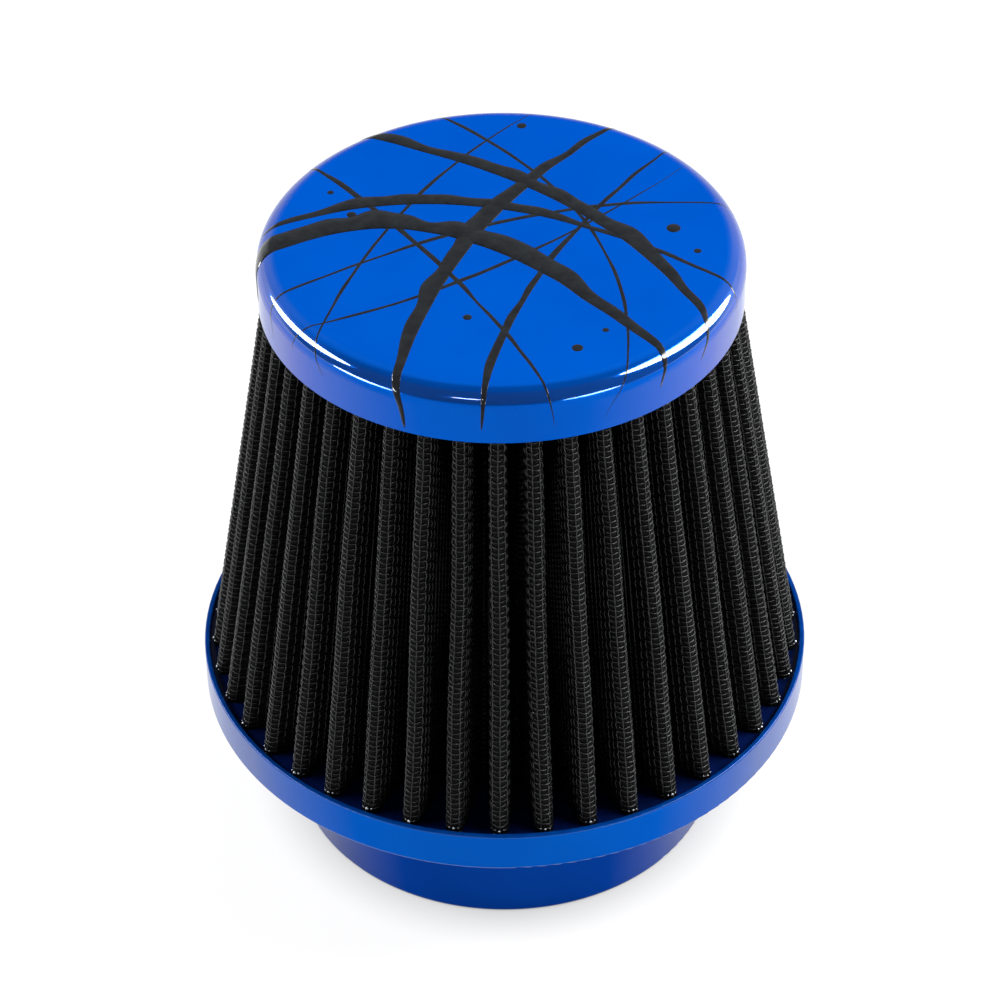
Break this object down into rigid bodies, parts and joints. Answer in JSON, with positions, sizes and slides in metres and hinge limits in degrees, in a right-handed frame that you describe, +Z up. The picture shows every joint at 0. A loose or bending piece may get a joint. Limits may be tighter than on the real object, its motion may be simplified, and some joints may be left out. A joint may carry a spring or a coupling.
{
  "type": "air filter",
  "caption": "Cone air filter: a pleated screen-backed element between a pressed round cap and a base ring with a clamp-on neck, for an engine's air intake.",
  "frame": {"origin": "centre of the neck's end face, on which the filter stands", "axes": "+Z up along the filter's axis from the neck to the cap, -Y towards the front of the picture"},
  "size_m": [0.117, 0.117, 0.129],
  "materials": {
    "base_moulding": "satin blue soft moulding",
    "sealing_resin": "dark poured resin",
    "coated_wire": "black coated aluminium wire",
    "gauze": "black cotton gauze",
    "blue_lacquer": "gloss blue lacquer on pressed aluminium"
  },
  "bodies": {
    "root": {"base_flange": "base_moulding", "tray_resin": "sealing_resin", "outer_screen": "coated_wire", "filter_media": "gauze", "inner_screen": "coated_wire", "cap_resin": "sealing_resin", "top_cap": "blue_lacquer"}
  },
  "joints": []
}
